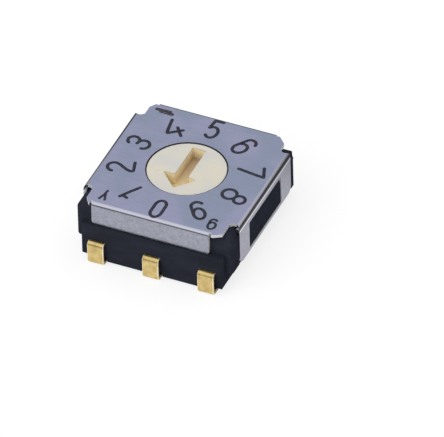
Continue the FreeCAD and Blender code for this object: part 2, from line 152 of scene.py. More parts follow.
# Table: plain white card, which glows evenly to the camera and on which the switch leaves
# only a faint shadow. To metal its glow is a painted pool of light that fades to dark far
# out, with a painted shadow of the switch close to the case.
TABLE_HALF = 1.0
LIT_SPOT = (-1 * MM, -4 * MM, 0)
LIT_FROM = 9 * MM
LIT_TO = 15 * MM
UNLIT = 0.06
SHADE_FROM = 3.5 * MM
SHADE_TO = 4.0 * MM
SHADED = 0.12
CARD_GLOW = 0.78
card = bpy.data.materials.new("white_card")
card.use_nodes = True
tree = card.node_tree
tree.nodes.clear()
rays = add(tree, "ShaderNodeLightPath")
direct = add(tree, "ShaderNodeMath", {
    0: rays.outputs["Is Camera Ray"], 1: rays.outputs["Is Glossy Ray"],
}, operation="MAXIMUM")
paper = add(tree, "ShaderNodeBsdfDiffuse", {"Color": linear("#F4F4F4")})
thin_paper = add(tree, "ShaderNodeBsdfDiffuse", {"Color": linear("#8C8C8C")})
spot = add(tree, "ShaderNodeTexCoord").outputs["Object"]
from_lit_spot = add(tree, "ShaderNodeVectorMath", {0: spot, 1: LIT_SPOT}, operation="DISTANCE")
# Painted pool of light, seen by metal only.
painted_light_pool = add(tree, "ShaderNodeMapRange", {
    "Value": from_lit_spot.outputs["Value"], "From Min": LIT_FROM, "From Max": LIT_TO,
    "To Min": 1.0, "To Max": UNLIT,
})
beside = add(tree, "ShaderNodeVectorMath", {0: spot}, operation="ABSOLUTE")
sides = add(tree, "ShaderNodeSeparateXYZ", {0: beside.outputs[0]})
nearest = add(tree, "ShaderNodeMath", {
    0: sides.outputs["X"], 1: sides.outputs["Y"],
}, operation="MAXIMUM")
# Painted shadow close to the case, seen by metal only.
painted_case_shadow = add(tree, "ShaderNodeMapRange", {
    "Value": nearest.outputs[0], "From Min": SHADE_FROM, "From Max": SHADE_TO,
    "To Min": SHADED, "To Max": 1.0,
})
mirrored = add(tree, "ShaderNodeMath", {
    0: painted_light_pool.outputs["Result"], 1: painted_case_shadow.outputs["Result"],
}, operation="MULTIPLY")
level = add(tree, "ShaderNodeMath", {
    0: rays.outputs["Is Camera Ray"], 1: mirrored.outputs[0],
}, operation="MAXIMUM")
strength = add(tree, "ShaderNodeMath", {0: level.outputs[0], 1: CARD_GLOW}, operation="MULTIPLY")
glow = add(tree, "ShaderNodeEmission", {
    "Color": linear("#FFFFFF"), "Strength": strength.outputs[0],
})
bright = add(tree, "ShaderNodeAddShader", {0: thin_paper.outputs[0], 1: glow.outputs[0]})
surface = add(tree, "ShaderNodeMixShader", {
    0: direct.outputs[0], 1: paper.outputs[0], 2: bright.outputs[0],
})
add(tree, "ShaderNodeOutputMaterial", {"Surface": surface.outputs[0]})
table_mesh = bpy.data.meshes.new("table")
corners = [(-1, -1), (1, -1), (1, 1), (-1, 1)]
table_mesh.from_pydata(
    [(x * TABLE_HALF, y * TABLE_HALF, 0) for x, y in corners], [], [(0, 1, 2, 3)])
table_mesh.materials.append(card)
table = bpy.data.objects.new("table", table_mesh)
bpy.context.scene.collection.objects.link(table)

# Cover: 0.15 mm stainless strip, blanked, folded on four sides and clipped over the catches.
# Its top's blue tint is a painted reflection; the blanked edges are bare and bright, partly by a
# painted highlight.
SHEET = 0.15 * MM
TOP = 3.05 * MM
COVER_EDGE = 0.045 * MM
EDGE_STEPS = 2
WELD = 1e-7
FLAT_ANGLE = math.radians(0.5)
EDGE_ANGLE = math.radians(35)


def finished_copy(node, name, body, edge_radius, edge_slot=-1):
    """A smooth-shaded copy of a CAD node with its sharp edges broken, in the node's place."""
    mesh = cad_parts[node].data.copy()
    mesh.name = name
    build = bmesh.new()
    build.from_mesh(mesh)
    bmesh.ops.remove_doubles(build, verts=build.verts, dist=WELD)
    bmesh.ops.dissolve_limit(build, angle_limit=FLAT_ANGLE, verts=build.verts, edges=build.edges)
    build.to_mesh(mesh)
    build.free()
    mesh.materials.clear()
    mesh.polygons.foreach_set("use_smooth", [True] * len(mesh.polygons))
    mesh.set_sharp_from_angle(angle=EDGE_ANGLE)
    piece = bpy.data.objects.new(name, mesh)
    bpy.context.scene.collection.objects.link(piece)
    if edge_radius:
        rounding = piece.modifiers.new("broken_edges", "BEVEL")
        rounding.width = edge_radius
        rounding.segments = EDGE_STEPS
        rounding.material = edge_slot
        rounding.limit_method = "ANGLE"
        rounding.angle_limit = EDGE_ANGLE
        rounding.harden_normals = True
    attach(piece, body)
    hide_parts(node)
    return piece


def per_mm(size):
    """Texture scale for a feature of that size in millimetres."""
    return 1000.0 / size


# Rolled stainless: satin, with fine grain along the strip. The top's blue to violet tone is a
# painted reflection, varying at random; below the bend the metal is neutral grey.
# The folding tool burnishes the bends smoother, so that they mirror the studio in thin lines;
# their lighter colour is a painted highlight.
REFLECTION_CLOUD = 1.9
SATIN_MOTTLE = 0.13
ROLLED_GRAIN = 0.05
GRAIN_STRETCH = (0.04, 1.0, 1.0)
GRAIN_DEPTH = 0.002 * MM
TOP_TINT_FROM = TOP - 0.03 * MM
TOP_TINT_FULL = TOP - 0.004 * MM
BEND_FROM = TOP - 0.15 * MM
BEND_FULL = TOP - 0.12 * MM
BEND_FADE = TOP - 0.010 * MM
BEND_END = TOP - 0.002 * MM
BURNISHED_ROUGHNESS = 0.14
# On the left and right sides a dark line is painted just under the bend, a painted dark
# reflection, and a thin bright line below it, a painted highlight.
SIDE_FROM = 3.55 * MM
DARK_LINE_HEIGHT = TOP - 0.17 * MM
DARK_LINE_HALF = 0.06 * MM
DARK_LINE_FADE = 0.10 * MM
DARK_LINE_STRENGTH = 0.95
SIDE_HIGHLIGHT_FROM = -0.21 * MM
SIDE_HIGHLIGHT_FULL = -0.15 * MM
SIDE_HIGHLIGHT_FADE = -0.13 * MM
SIDE_HIGHLIGHT_END = -0.09 * MM
# The left and rear bends are painted darker, a painted shade, so that they show only a thin dark
# rim.
FOLD_LINE = 3.50 * MM
FOLD_FADE = 0.03 * MM
FOLD_SHADE = 0.8
steel = bpy.data.materials.new("rolled_stainless_painted_reflections")
steel.use_nodes = True
tree = steel.node_tree
tree.nodes.clear()
place = add(tree, "ShaderNodeTexCoord").outputs["Object"]
cloud = add(tree, "ShaderNodeTexNoise", {
    "Vector": place, "Scale": per_mm(REFLECTION_CLOUD), "Detail": 3.0, "Roughness": 0.5,
})
cloud_step = add(tree, "ShaderNodeMapRange", {
    "Value": cloud.outputs["Fac"], "From Min": 0.38, "From Max": 0.62,
}, interpolation_type="SMOOTHSTEP")
# Painted blue-violet reflection on the top.
painted_blue_reflection = add(tree, "ShaderNodeMix", {
    0: cloud_step.outputs["Result"], 6: linear("#99A3BB"), 7: linear("#A6A8C5"),
}, data_type="RGBA")
mottle = add(tree, "ShaderNodeTexNoise", {
    "Vector": place, "Scale": per_mm(SATIN_MOTTLE), "Detail": 5.0, "Roughness": 0.75,
})
bare = add(tree, "ShaderNodeMix", {
    0: mottle.outputs["Fac"], 6: linear("#5D5F6C"), 7: linear("#CECFDD"),
}, data_type="RGBA")
height = add(tree, "ShaderNodeSeparateXYZ", {0: place})
on_top = add(tree, "ShaderNodeMapRange", {
    "Value": height.outputs["Z"], "From Min": TOP_TINT_FROM, "From Max": TOP_TINT_FULL,
}, interpolation_type="SMOOTHSTEP")
tone = add(tree, "ShaderNodeMix", {
    0: on_top.outputs["Result"], 6: bare.outputs[2], 7: painted_blue_reflection.outputs[2],
}, data_type="RGBA")
strip = add(tree, "ShaderNodeMapping", {"Vector": place, "Scale": GRAIN_STRETCH})
grain = add(tree, "ShaderNodeTexNoise", {
    "Vector": strip.outputs[0], "Scale": per_mm(ROLLED_GRAIN), "Detail": 4.0, "Roughness": 0.6,
})
grain_tone = add(tree, "ShaderNodeMapRange", {
    "Value": grain.outputs["Fac"], "From Min": 0.3, "From Max": 0.7,
    "To Min": 0.93, "To Max": 1.05,
})
grained = add(tree, "ShaderNodeMix", {
    0: 1.0, 6: tone.outputs[2], 7: grain_tone.outputs["Result"],
}, data_type="RGBA", blend_type="MULTIPLY")
below_top = add(tree, "ShaderNodeMapRange", {
    "Value": height.outputs["Z"], "From Min": BEND_FADE, "From Max": BEND_END,
    "To Min": 1.0, "To Max": 0.0,
})
above_flange = add(tree, "ShaderNodeMapRange", {
    "Value": height.outputs["Z"], "From Min": BEND_FROM, "From Max": BEND_FULL,
})
bend = add(tree, "ShaderNodeMath", {
    0: below_top.outputs["Result"], 1: above_flange.outputs["Result"],
}, operation="MULTIPLY")
beside = add(tree, "ShaderNodeVectorMath", {0: place}, operation="ABSOLUTE")
sides = add(tree, "ShaderNodeSeparateXYZ", {0: beside.outputs[0]})
on_side = add(tree, "ShaderNodeMath", {
    0: sides.outputs["X"], 1: SIDE_FROM,
}, operation="GREATER_THAN")
from_line = add(tree, "ShaderNodeMath", {
    0: height.outputs["Z"], 1: DARK_LINE_HEIGHT,
}, operation="SUBTRACT")
off_line = add(tree, "ShaderNodeMath", {0: from_line.outputs[0]}, operation="ABSOLUTE")
painted_dark_line = add(tree, "ShaderNodeMapRange", {
    "Value": off_line.outputs[0], "From Min": DARK_LINE_HALF, "From Max": DARK_LINE_FADE,
    "To Min": DARK_LINE_STRENGTH, "To Max": 0.0,
})
side_dark_line = add(tree, "ShaderNodeMath", {
    0: on_side.outputs[0], 1: painted_dark_line.outputs["Result"],
}, operation="MULTIPLY")
under_line = add(tree, "ShaderNodeMapRange", {
    "Value": from_line.outputs[0], "From Min": SIDE_HIGHLIGHT_FROM, "From Max": SIDE_HIGHLIGHT_FULL,
    "To Min": 0.0, "To Max": 1.0,
})
over_field = add(tree, "ShaderNodeMapRange", {
    "Value": from_line.outputs[0], "From Min": SIDE_HIGHLIGHT_FADE, "From Max": SIDE_HIGHLIGHT_END,
    "To Min": 1.0, "To Max": 0.0,
})
painted_side_highlight = add(tree, "ShaderNodeMath", {
    0: under_line.outputs["Result"], 1: over_field.outputs["Result"],
}, operation="MULTIPLY")
side_highlight_mask = add(tree, "ShaderNodeMath", {
    0: on_side.outputs[0], 1: painted_side_highlight.outputs[0],
}, operation="MULTIPLY")
# Painted highlight: a thin bright line on the sides, below the dark one.
with_side_highlight = add(tree, "ShaderNodeMix", {
    0: side_highlight_mask.outputs[0], 6: grained.outputs[2], 7: linear("#F0F0F6"),
}, data_type="RGBA")
# Painted highlight: the bends get a lighter colour.
painted_bend_highlight = add(tree, "ShaderNodeMix", {
    0: bend.outputs[0], 6: with_side_highlight.outputs[2], 7: linear("#B9BAC7"),
}, data_type="RGBA")
# Painted dark reflection: a dark line under the bend on the left and right sides.
with_side_dark_line = add(tree, "ShaderNodeMix", {
    0: side_dark_line.outputs[0], 6: painted_bend_highlight.outputs[2], 7: linear("#14161F"),
}, data_type="RGBA")
across = add(tree, "ShaderNodeMath", {0: height.outputs["X"], 1: -1.0}, operation="MULTIPLY")
outermost = add(tree, "ShaderNodeMath", {
    0: across.outputs[0], 1: height.outputs["Y"],
}, operation="MAXIMUM")
fold_line = add(tree, "ShaderNodeMapRange", {
    "Value": outermost.outputs[0], "From Min": FOLD_LINE - FOLD_FADE, "From Max": FOLD_LINE,
    "To Min": 0.0, "To Max": FOLD_SHADE,
})
painted_fold_shade = add(tree, "ShaderNodeMath", {
    0: fold_line.outputs["Result"], 1: above_flange.outputs["Result"],
}, operation="MULTIPLY")
# Painted shade: the left and rear bends turn dark.
with_fold_shade = add(tree, "ShaderNodeMix", {
    0: painted_fold_shade.outputs[0], 6: with_side_dark_line.outputs[2], 7: linear("#3A3A44"),
}, data_type="RGBA")
satin = add(tree, "ShaderNodeMapRange", {
    "Value": mottle.outputs["Fac"], "From Min": 0.3, "From Max": 0.7,
    "To Min": 0.30, "To Max": 0.42,
})
burnish = add(tree, "ShaderNodeMix", {
    0: bend.outputs[0], 2: satin.outputs["Result"], 3: BURNISHED_ROUGHNESS,
})
relief = add(tree, "ShaderNodeBump", {
    "Height": grain.outputs["Fac"], "Strength": 0.25, "Distance": GRAIN_DEPTH,
})
skin = add(tree, "ShaderNodeBsdfPrincipled", {
    "Base Color": with_fold_shade.outputs[2], "Metallic": 1.0, "Roughness": burnish.outputs[0],
    "Normal": relief.outputs[0],
})
add(tree, "ShaderNodeOutputMaterial", {"Surface": skin.outputs[0]})

# Blanked steel edge: the punch leaves a burnished band, brighter than the rolled face; its
# near-white tone is partly a painted highlight.
# It is drawn only part metallic, because its torn surface scatters light to all sides.
# Round the rotor's hole it is darker, a painted shade in the gap.
HOLE_EDGE = 2.0 * MM
TORN_STREAK = 0.05
STREAK_STRETCH = (1.0, 1.0, 0.15)
STREAK_DEPTH = 0.004 * MM
blanked = bpy.data.materials.new("blanked_steel_edge")
blanked.use_nodes = True
tree = blanked.node_tree
tree.nodes.clear()
place = add(tree, "ShaderNodeTexCoord").outputs["Object"]
streaks = add(tree, "ShaderNodeMapping", {"Vector": place, "Scale": STREAK_STRETCH})
tear = add(tree, "ShaderNodeTexNoise", {
    "Vector": streaks.outputs[0], "Scale": per_mm(TORN_STREAK), "Detail": 3.0,
})
# Near-white in places: partly a painted highlight.
torn_tone_and_highlight = add(tree, "ShaderNodeMix", {
    0: tear.outputs["Fac"], 6: linear("#A6A6B0"), 7: linear("#FFFFFF"),
}, data_type="RGBA")
flat_place = add(tree, "ShaderNodeVectorMath", {
    0: place, 1: (1.0, 1.0, 0.0),
}, operation="MULTIPLY")
from_axis = add(tree, "ShaderNodeVectorMath", {0: flat_place.outputs[0]}, operation="LENGTH")
outside_hole = add(tree, "ShaderNodeMath", {
    0: from_axis.outputs["Value"], 1: HOLE_EDGE,
}, operation="GREATER_THAN")
# Painted shade round the rotor's hole.
cut_tone_with_gap_shade = add(tree, "ShaderNodeMix", {
    0: outside_hole.outputs[0], 6: linear("#55555E"), 7: torn_tone_and_highlight.outputs[2],
}, data_type="RGBA")
relief = add(tree, "ShaderNodeBump", {
    "Height": tear.outputs["Fac"], "Strength": 0.4, "Distance": STREAK_DEPTH,
})
skin = add(tree, "ShaderNodeBsdfPrincipled", {
    "Base Color": cut_tone_with_gap_shade.outputs[2], "Metallic": 0.35, "Roughness": 0.45,
    "Normal": relief.outputs[0],
})
add(tree, "ShaderNodeOutputMaterial", {"Surface": skin.outputs[0]})

# The cover's windows are let out a little at their top and bottom, as on the real cover,
# and faces that end across the sheet's thickness are its blanked edges.
WINDOW_SHEET = 3.40 * MM
WINDOW_HALF = 1.66 * MM
WINDOW_TOP = 2.38 * MM
WINDOW_BOTTOM = 1.18 * MM
WINDOW_CORNER = 0.10 * MM
WINDOW_SLACK = 0.01 * MM
WINDOW_RISE = 0.11 * MM
WINDOW_DROP = 0.08 * MM
SHEET_SLACK = 0.002 * MM
cover = finished_copy("cover", "folded_cover", "case", COVER_EDGE, edge_slot=1)
cover.data.materials.append(steel)
cover.data.materials.append(blanked)
for point in cover.data.vertices:
    if abs(point.co.x) > WINDOW_SHEET and abs(point.co.y) < WINDOW_HALF:
        if WINDOW_TOP - WINDOW_CORNER < point.co.z < WINDOW_TOP + WINDOW_SLACK:
            point.co.z += WINDOW_RISE
        elif WINDOW_BOTTOM - WINDOW_SLACK < point.co.z < WINDOW_BOTTOM + WINDOW_CORNER:
            point.co.z -= WINDOW_DROP
for face in cover.data.polygons:
    ends = [cover.data.vertices[i].co for i in face.vertices]
    lengths = [(a - b).length for a, b in zip(ends, ends[1:] + ends[:1])]
    across_sheet = [s for s in lengths if abs(s - SHEET) < SHEET_SLACK]
    face.material_index = 1 if len(across_sheet) >= 2 else 0

# Print: pad-printed black ink on the cover's top, ten dial numbers whose tops point outwards,
# a small number at each end of the front lead row and a plain bar at the rear left corner.
# Lengths in this section are in millimetres, and angles in degrees.
STROKE = 0.145
SMALL_STROKE = 0.11
BAR_STROKE = 0.17
INK = 0.004
INK_STEP = 0.0005
INK_LAYERS = 4
INK_SPOTS = 0.07
INK_ROUGH = 0.002
DIAL_RADIUS = 2.8
DIAL_START = -90
DIAL_STEP = 36
ARC_STEP = 9


def arc(u, v, radius_u, radius_v, start, end):
    """Points along an upright ellipse's arc, from one angle to another in degrees."""
    steps = max(2, round(abs(end - start) / ARC_STEP))
    angles = [math.radians(start + (end - start) * k / steps) for k in range(steps + 1)]
    return [(u + radius_u * math.cos(a), v + radius_v * math.sin(a)) for a in angles]


def numeral_strokes(number):
    """The pen strokes of one number, with its top towards +V."""
    if number == 0:
        return [arc(0.04, 0.30, 0.235, 0.32, 0, 180) + arc(0.04, -0.16, 0.235, 0.32, 180, 360)
                + [(0.275, 0.30)]]
    if number == 1:
        return [[(-0.09, 0.52), (-0.06, 0.0), (-0.05, -0.52)],
                [(-0.33, 0.32), (-0.22, 0.34), (-0.08, 0.42)]]
    if number == 2:
        return [arc(-0.09, 0.29, 0.27, 0.27, 165, -25)
                + [(0.07, 0.04), (-0.10, -0.12), (-0.26, -0.28), (-0.34, -0.42), (-0.35, -0.52),
                   (-0.31, -0.57), (0.22, -0.58)]]
    if number == 3:
        return [arc(-0.05, 0.18, 0.25, 0.25, 165, -75) + [(-0.11, -0.06)],
                [(-0.11, -0.06)] + arc(-0.01, -0.33, 0.27, 0.27, 80, -160)]
    if number == 4:
        return [[(0.07, 0.52), (-0.12, 0.16), (-0.31, -0.22)], [(-0.31, -0.22), (-0.30, -0.29)],
                [(-0.30, -0.29), (0.38, -0.28)], [(0.19, -0.04), (0.20, -0.62)]]
    if number == 5:
        return [[(0.21, 0.57), (-0.16, 0.56)], [(-0.16, 0.56), (-0.22, 0.06)],
                [(-0.22, 0.06)] + arc(-0.01, -0.20, 0.25, 0.36, 125, -140)]
    if number == 6:
        return [arc(-0.02, 0.32, 0.24, 0.23, 25, 180) + arc(0.0, -0.22, 0.27, 0.34, 180, 500)]
    if number == 7:
        return [[(-0.26, 0.46), (0.34, 0.49)],
                [(0.34, 0.49), (0.25, 0.27), (0.07, -0.12), (-0.17, -0.62)]]
    if number == 8:
        return [arc(0.10, 0.26, 0.245, 0.25, -90, 270), arc(0.08, -0.31, 0.31, 0.32, 90, 450)]
    return [arc(0.11, 0.22, 0.24, 0.35, 360, 0),
            [(0.35, 0.22)] + arc(0.09, -0.28, 0.26, 0.27, 0, -150)]


def place_strokes(strokes, x, y, up_angle):
    """Puts a number's strokes on the cover with its middle at x, y and its top at an angle."""
    turn = Matrix.Rotation(math.radians(up_angle - 90), 2)
    placed = []
    for stroke in strokes:
        points = [turn @ Vector(p) for p in stroke]
        placed.append([(p.x + x, p.y + y) for p in points])
    return placed


# Pad-print ink: matt black, thin in spots where the steel's grain shows through. The bar's
# ink is worn paler than the numbers'.
inks = {}
for name, full, thin in (
    ("pad_print_ink", "#23232F", "#4A4A5C"),
    ("worn_pad_print_ink", "#38313C", "#6A6476"),
):
    ink = bpy.data.materials.new(name)
    ink.use_nodes = True
    tree = ink.node_tree
    tree.nodes.clear()
    place = add(tree, "ShaderNodeTexCoord").outputs["Object"]
    patchy = add(tree, "ShaderNodeTexNoise", {
        "Vector": place, "Scale": per_mm(INK_SPOTS), "Detail": 4.0, "Roughness": 0.65,
    })
    thinness = add(tree, "ShaderNodeMapRange", {
        "Value": patchy.outputs["Fac"], "From Min": 0.45, "From Max": 0.72,
    })
    ink_tone = add(tree, "ShaderNodeMix", {
        0: thinness.outputs["Result"], 6: linear(full), 7: linear(thin),
    }, data_type="RGBA")
    relief = add(tree, "ShaderNodeBump", {
        "Height": patchy.outputs["Fac"], "Strength": 0.3, "Distance": INK_ROUGH * MM,
    })
    skin = add(tree, "ShaderNodeBsdfPrincipled", {
        "Base Color": ink_tone.outputs[2], "Roughness": 0.6, "Specular IOR Level": 0.3,
        "Normal": relief.outputs[0],
    })
    add(tree, "ShaderNodeOutputMaterial", {"Surface": skin.outputs[0]})
    inks[name] = ink


def stroke_tree(name, material):
    """Geometry Nodes that give each curve a flat stroke of ink with round ends."""
    group = bpy.data.node_groups.new(name, "GeometryNodeTree")
    face = group.interface
    face.new_socket("Geometry", in_out="INPUT", socket_type="NodeSocketGeometry")
    face.new_socket("Stroke Width", in_out="INPUT", socket_type="NodeSocketFloat")
    face.new_socket("Ink Height", in_out="INPUT", socket_type="NodeSocketFloat")
    face.new_socket("Geometry", in_out="OUTPUT", socket_type="NodeSocketGeometry")
    given = add(group, "NodeGroupInput")
    upright = add(group, "GeometryNodeSetCurveNormal", {
        "Curve": given.outputs["Geometry"],
    }, mode="Z_UP")
    section = add(group, "GeometryNodeCurvePrimitiveQuadrilateral", {
        "Width": given.outputs["Stroke Width"], "Height": given.outputs["Ink Height"],
    })
    band = add(group, "GeometryNodeCurveToMesh", {
        "Curve": upright.outputs[0], "Profile Curve": section.outputs[0], "Fill Caps": True,
    })
    radius = add(group, "ShaderNodeMath", {
        0: given.outputs["Stroke Width"], 1: 0.5,
    }, operation="MULTIPLY")
    thin = add(group, "ShaderNodeMath", {
        0: given.outputs["Ink Height"], 1: 0.9,
    }, operation="MULTIPLY")
    dot = add(group, "GeometryNodeMeshCylinder", {
        "Vertices": 20, "Radius": radius.outputs[0], "Depth": thin.outputs[0],
    })
    tips = add(group, "GeometryNodeCurveEndpointSelection")
    dots = add(group, "GeometryNodeInstanceOnPoints", {
        "Points": upright.outputs[0], "Selection": tips.outputs[0],
        "Instance": dot.outputs["Mesh"],
    })
    both = add(group, "GeometryNodeJoinGeometry")
    group.links.new(band.outputs[0], both.inputs[0])
    group.links.new(dots.outputs[0], both.inputs[0])
    real = add(group, "GeometryNodeRealizeInstances", {0: both.outputs[0]})
    inked = add(group, "GeometryNodeSetMaterial", {
        "Geometry": real.outputs[0], "Material": material,
    })
    add(group, "NodeGroupOutput", {0: inked.outputs[0]})
    return group


def printed(name, strokes, width, group):
    """Prints strokes on the cover's top as one piece of ink; crossing ones differ in height."""
    line = bpy.data.curves.new(name + "_line", "CURVE")
    line.dimensions = "3D"
    for order, stroke in enumerate(strokes):
        spline = line.splines.new("POLY")
        spline.points.add(len(stroke) - 1)
        lift = INK / 2 + order % INK_LAYERS * INK_STEP
        for point, (x, y) in zip(spline.points, stroke):
            point.co = (x * MM, y * MM, TOP + lift * MM, 1.0)
    draft = bpy.data.objects.new(name + "_line", line)
    bpy.context.scene.collection.objects.link(draft)
    modifier = draft.modifiers.new("ink", "NODES")
    modifier.node_group = group
    sizes = {"Stroke Width": width * MM, "Ink Height": INK * MM}
    for item in group.interface.items_tree:
        if item.in_out == "INPUT" and item.name in sizes:
            modifier[item.identifier] = sizes[item.name]
    ready = draft.evaluated_get(bpy.context.evaluated_depsgraph_get())
    mesh = bpy.data.meshes.new_from_object(ready)
    mesh.name = name
    bpy.data.objects.remove(draft)
    piece = bpy.data.objects.new(name, mesh)
    bpy.context.scene.collection.objects.link(piece)
    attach(piece, "case")
    return piece


ink_strokes = stroke_tree("ink_strokes", inks["pad_print_ink"])
worn_strokes = stroke_tree("worn_ink_strokes", inks["worn_pad_print_ink"])
dial = []
for number in range(10):
    angle = DIAL_START - number * DIAL_STEP
    x = DIAL_RADIUS * math.cos(math.radians(angle))
    y = DIAL_RADIUS * math.sin(math.radians(angle))
    dial += place_strokes(numeral_strokes(number), x, y, angle)
printed("dial_numbers", dial, STROKE, ink_strokes)

small_one = [[(0.04, 0.33), (0.02, 0.0), (0.06, -0.27)],
             [(-0.21, 0.27), (-0.10, 0.10), (0.0, -0.06)]]
small_six = [arc(0.02, 0.16, 0.15, 0.16, 40, 180) + arc(0.03, -0.10, 0.16, 0.22, 180, 500)]
marks = place_strokes(small_one, -2.50, -2.88, -105) + place_strokes(small_six, 2.45, -2.93, 93)
printed("lead_marks", marks, SMALL_STROKE, ink_strokes)
bar = [[(-2.78, 3.14), (-2.18, 3.16)], [(-2.56, 3.05), (-2.04, 3.04)]]
printed("index_bar", bar, BAR_STROKE, worn_strokes)

# Housing and base: glass-filled black plastic, moulded matt. Flow lines and glass ends
# give the black a faint cool streak, and the rough tool leaves it without any sheen.
# The moulds' edges leave a small radius.
MOULDED_EDGE = 0.02 * MM
FLOW_LINE = 0.5
FLOW_STRETCH = (0.35, 1.0, 1.0)
GLASS_END = 0.035
GLASS_DEPTH = 0.004 * MM
black = bpy.data.materials.new("glass_filled_black_moulding")
black.use_nodes = True
tree = black.node_tree
tree.nodes.clear()
place = add(tree, "ShaderNodeTexCoord").outputs["Object"]
flow = add(tree, "ShaderNodeMapping", {"Vector": place, "Scale": FLOW_STRETCH})
streak = add(tree, "ShaderNodeTexNoise", {
    "Vector": flow.outputs[0], "Scale": per_mm(FLOW_LINE), "Detail": 5.0, "Roughness": 0.6,
})
streak_tone = add(tree, "ShaderNodeMapRange", {
    "Value": streak.outputs["Fac"], "From Min": 0.35, "From Max": 0.75,
})
body_tone = add(tree, "ShaderNodeMix", {
    0: streak_tone.outputs["Result"], 6: linear("#292C33"), 7: linear("#323540"),
}, data_type="RGBA")
spark = add(tree, "ShaderNodeTexNoise", {
    "Vector": place, "Scale": per_mm(GLASS_END), "Detail": 2.0, "Roughness": 0.7,
})
gloss = add(tree, "ShaderNodeMapRange", {
    "Value": spark.outputs["Fac"], "From Min": 0.3, "From Max": 0.7,
    "To Min": 0.45, "To Max": 0.62,
})
relief = add(tree, "ShaderNodeBump", {
    "Height": spark.outputs["Fac"], "Strength": 0.35, "Distance": GLASS_DEPTH,
})
skin = add(tree, "ShaderNodeBsdfPrincipled", {
    "Base Color": body_tone.outputs[2], "Roughness": gloss.outputs["Result"],
    "Specular IOR Level": 0.0, "Normal": relief.outputs[0],
})
add(tree, "ShaderNodeOutputMaterial", {"Surface": skin.outputs[0]})

# The housing's two rear top corners are drawn in, most at the very corner, and lowered.
CORNER_FROM = 6.0 * MM
CORNER_SPAN = 0.6 * MM
CORNER_FOOT = 2.45 * MM
CORNER_RISE = 0.3 * MM
CORNER_IN_X = 0.06 * MM
CORNER_IN_Y = 0.20 * MM
CORNER_DOWN = 0.14 * MM
housing = finished_copy("housing", "upper_moulding", "case", MOULDED_EDGE)
housing.data.materials.append(black)
for point in housing.data.vertices:
    outward = abs(point.co.x) + point.co.y
    drawn_in = min(1.0, max(0.0, (outward - CORNER_FROM) / CORNER_SPAN))
    drawn_in *= min(1.0, max(0.0, (point.co.z - CORNER_FOOT) / CORNER_RISE))
    point.co.x -= math.copysign(CORNER_IN_X * drawn_in, point.co.x)
    point.co.y -= CORNER_IN_Y * drawn_in
    point.co.z -= CORNER_DOWN * drawn_in

# The base's catches follow the cover's windows up and down, and below the cover's right
# flange the base is set in a little.
CATCH_MIDDLE = 1.9 * MM
SKIRT_FROM = 3.20 * MM
SKIRT_TOP = 1.02 * MM
SKIRT_IN = 0.08 * MM
base = finished_copy("base", "lower_moulding", "case", MOULDED_EDGE)
base.data.materials.append(black)
for point in base.data.vertices:
    if abs(point.co.x) > WINDOW_SHEET and abs(point.co.y) < WINDOW_HALF:
        if point.co.z > CATCH_MIDDLE:
            point.co.z += WINDOW_RISE
        elif WINDOW_BOTTOM < point.co.z < WINDOW_BOTTOM + WINDOW_CORNER:
            point.co.z -= WINDOW_DROP
    if point.co.x > SKIRT_FROM and point.co.z < SKIRT_TOP:
        point.co.x -= SKIRT_IN

# Rotor: unfilled cream plastic, moulded satin. The screwdriver slot is given a painted
# shade in tan, darkest on its floor towards the tail and lighter up its walls.
# The neck's side in the gap is darkened, a painted shade.
ROTOR_FACE = 3.03 * MM
ROTOR_EDGE = 0.01 * MM
SLOT_FLOOR = 2.43 * MM
SLOT_REACH = 1.45 * MM
SLOT_CLIMB = 0.45 * MM
SLOT_TIP = -0.5 * MM
SLOT_TAIL = 0.7 * MM
PALE_FROM = ROTOR_FACE - 0.08 * MM
PALE_FULL = ROTOR_FACE - 0.03 * MM
NECK_RADIUS = 1.70 * MM
RIM_RADIUS = 1.71 * MM
GAP_FROM = RIM_RADIUS - 0.012 * MM
GAP_FULL = RIM_RADIUS - 0.004 * MM
CREAM_HAZE = 1.1
CREAM_PORE = 0.06
PORE_DEPTH = 0.003 * MM
cream = bpy.data.materials.new("cream_satin_moulding")
cream.use_nodes = True
tree = cream.node_tree
tree.nodes.clear()
place = add(tree, "ShaderNodeTexCoord").outputs["Object"]
haze = add(tree, "ShaderNodeTexNoise", {
    "Vector": place, "Scale": per_mm(CREAM_HAZE), "Detail": 4.0, "Roughness": 0.55,
})
haze_step = add(tree, "ShaderNodeMapRange", {
    "Value": haze.outputs["Fac"], "From Min": 0.35, "From Max": 0.65,
})
pale = add(tree, "ShaderNodeMix", {
    0: haze_step.outputs["Result"], 6: linear("#D6D4CE"), 7: linear("#E1DAC6"),
}, data_type="RGBA")
height = add(tree, "ShaderNodeSeparateXYZ", {0: place})
tail = add(tree, "ShaderNodeMapRange", {
    "Value": height.outputs["Y"], "From Min": SLOT_TIP, "From Max": SLOT_TAIL,
})
# Painted shade in the slot: darker towards its tail and lighter up its walls.
painted_floor_shade = add(tree, "ShaderNodeMix", {
    0: tail.outputs["Result"], 6: linear("#EAD6A8"), 7: linear("#C8B08F"),
}, data_type="RGBA")
climb = add(tree, "ShaderNodeMapRange", {
    "Value": height.outputs["Z"], "From Min": SLOT_FLOOR, "From Max": SLOT_FLOOR + SLOT_CLIMB,
})
painted_slot_shade = add(tree, "ShaderNodeMix", {
    0: climb.outputs["Result"], 6: painted_floor_shade.outputs[2], 7: linear("#F7E9C0"),
}, data_type="RGBA")
above = add(tree, "ShaderNodeMapRange", {
    "Value": height.outputs["Z"], "From Min": PALE_FROM, "From Max": PALE_FULL,
})
face_and_slot_shade = add(tree, "ShaderNodeMix", {
    0: above.outputs["Result"], 6: painted_slot_shade.outputs[2], 7: pale.outputs[2],
}, data_type="RGBA")
flat_place = add(tree, "ShaderNodeVectorMath", {
    0: place, 1: (1.0, 1.0, 0.0),
}, operation="MULTIPLY")
from_axis = add(tree, "ShaderNodeVectorMath", {0: flat_place.outputs[0]}, operation="LENGTH")
